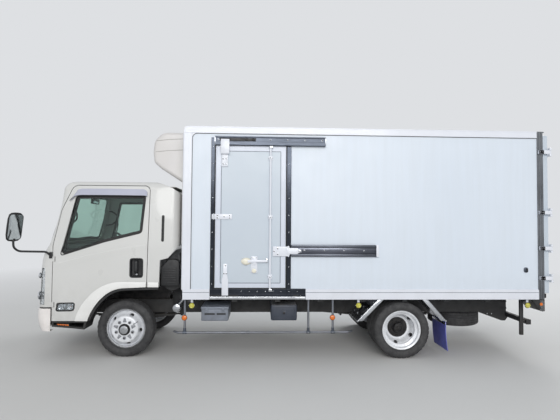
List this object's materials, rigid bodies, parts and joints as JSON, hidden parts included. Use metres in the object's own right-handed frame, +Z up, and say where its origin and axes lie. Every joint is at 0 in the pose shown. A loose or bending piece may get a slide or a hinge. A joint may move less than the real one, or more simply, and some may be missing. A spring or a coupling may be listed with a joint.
{
  "type": "refrigerated truck",
  "caption": "Light refrigerated truck: a tilting cab over the engine, an insulated box body with side and rear doors, and a cooling unit above the cab.",
  "frame": {"origin": "on the ground under the middle of the truck's overall box", "axes": "+X rearward along the truck, +Y to the truck's right-hand side, +Z up"},
  "size_m": [6.4375, 2.3732, 2.782],
  "materials": {
    "cab_paint": "warm white gloss paint",
    "box_panel": "white gloss panel",
    "white_trim": "white coated mouldings",
    "stainless": "bright brushed stainless",
    "frame_black": "black chassis paint",
    "black_plastic": "textured black plastic",
    "unit_white": "white moulded housing",
    "glass": "tinted glass",
    "wheel_silver": "silver wheel paint",
    "tyre": "road tyre rubber",
    "lens": "clear lamp lens",
    "seat_fabric": "woven seat cloth",
    "grey_plastic": "grained grey plastic",
    "flap_blue": "blue-violet mudflap sheet",
    "case_grey": "light grey case"
  },
  "bodies": {
    "root": {"chassis_frame": "frame_black", "sub_frame": "frame_black", "front_axle": "frame_black", "rear_axle": "frame_black", "engine": "frame_black", "fuel_tank": "frame_black", "exhaust": "stainless", "side_cases": "case_grey", "side_guards": "frame_black", "front_bumper": "cab_paint", "rear_mudguards": "stainless", "mudflaps": "flap_blue", "rear_guard": "frame_black", "lamps": "lens", "box_floor": "box_panel", "box_roof": "box_panel", "box_front_wall": "box_panel", "box_left_wall": "box_panel", "box_right_wall": "box_panel", "box_rails": "white_trim", "rear_frame": "stainless", "side_door_frame": "stainless", "side_door": "box_panel", "side_door_gear": "white_trim", "cooling_unit": "unit_white", "evaporator": "unit_white"},
    "cab": {"cab_front": "cab_paint", "cab_top": "cab_paint", "cab_back": "cab_paint", "cab_floor": "frame_black", "windscreen": "glass", "headlamps": "lens", "dashboard": "grey_plastic", "steering_wheel": "black_plastic", "seats": "seat_fabric", "mirror_left": "black_plastic", "cab_steps": "black_plastic"},
    "cab_door_left_body": {"cab_door_left": "cab_paint", "door_glass_left": "glass"},
    "cab_door_right_body": {"cab_door_right": "cab_paint", "door_glass_right": "glass", "mirror_right": "black_plastic"},
    "steer_left_body": {"knuckle_left": "frame_black"},
    "steer_right_body": {"knuckle_right": "frame_black"},
    "front_wheel_left": {"front_rim_left": "wheel_silver", "front_tyre_left": "tyre"},
    "front_wheel_right": {"front_rim_right": "wheel_silver", "front_tyre_right": "tyre"},
    "rear_wheels_left": {"rear_rims_left": "wheel_silver", "rear_tyres_left": "tyre"},
    "rear_wheels_right": {"rear_rims_right": "wheel_silver", "rear_tyres_right": "tyre"},
    "rear_door_left_body": {"rear_door_left": "box_panel"},
    "rear_door_right_body": {"rear_door_right": "box_panel"}
  },
  "joints": [
    {"name": "cab_tilt", "type": "hinge", "parent": "root", "child": "cab", "pos_m": [-2.825, 0, 0.72], "axis": [0, -1, 0], "range_deg": [0, 45]},
    {"name": "cab_door_left_hinge", "type": "hinge", "parent": "cab", "child": "cab_door_left_body", "pos_m": [-2.826, -0.838, 0.9], "axis": [0, 0, -1], "range_deg": [0, 70]},
    {"name": "cab_door_right_hinge", "type": "hinge", "parent": "cab", "child": "cab_door_right_body", "pos_m": [-2.826, 0.838, 0.9], "axis": [0, 0, 1], "range_deg": [0, 70]},
    {"name": "steer_left", "type": "hinge", "parent": "root", "child": "steer_left_body", "pos_m": [-1.99, -0.59, 0.338], "axis": [0, 0, 1], "range_deg": [-35, 35]},
    {"name": "steer_right", "type": "hinge", "parent": "root", "child": "steer_right_body", "pos_m": [-1.99, 0.59, 0.338], "axis": [0, 0, 1], "range_deg": [-35, 35]},
    {"name": "front_wheel_left_spin", "type": "hinge", "parent": "steer_left_body", "child": "front_wheel_left", "pos_m": [-1.99, -0.6975, 0.338], "axis": [0, 1, 0], "continuous": true},
    {"name": "front_wheel_right_spin", "type": "hinge", "parent": "steer_right_body", "child": "front_wheel_right", "pos_m": [-1.99, 0.6975, 0.338], "axis": [0, 1, 0], "continuous": true},
    {"name": "rear_wheels_left_spin", "type": "hinge", "parent": "root", "child": "rear_wheels_left", "pos_m": [1.355, -0.7075, 0.338], "axis": [0, 1, 0], "continuous": true},
    {"name": "rear_wheels_right_spin", "type": "hinge", "parent": "root", "child": "rear_wheels_right", "pos_m": [1.355, 0.7075, 0.338], "axis": [0, 1, 0], "continuous": true},
    {"name": "rear_door_left_hinge", "type": "hinge", "parent": "root", "child": "rear_door_left_body", "pos_m": [3.185, -0.983, 1.76], "axis": [0, 0, -1], "range_deg": [0, 265]},
    {"name": "rear_door_right_hinge", "type": "hinge", "parent": "root", "child": "rear_door_right_body", "pos_m": [3.185, 0.983, 1.76], "axis": [0, 0, 1], "range_deg": [0, 265]}
  ],
  "couplings": [
    {"joint": "steer_right", "follows": "steer_left", "ratio": 1}
  ]
}
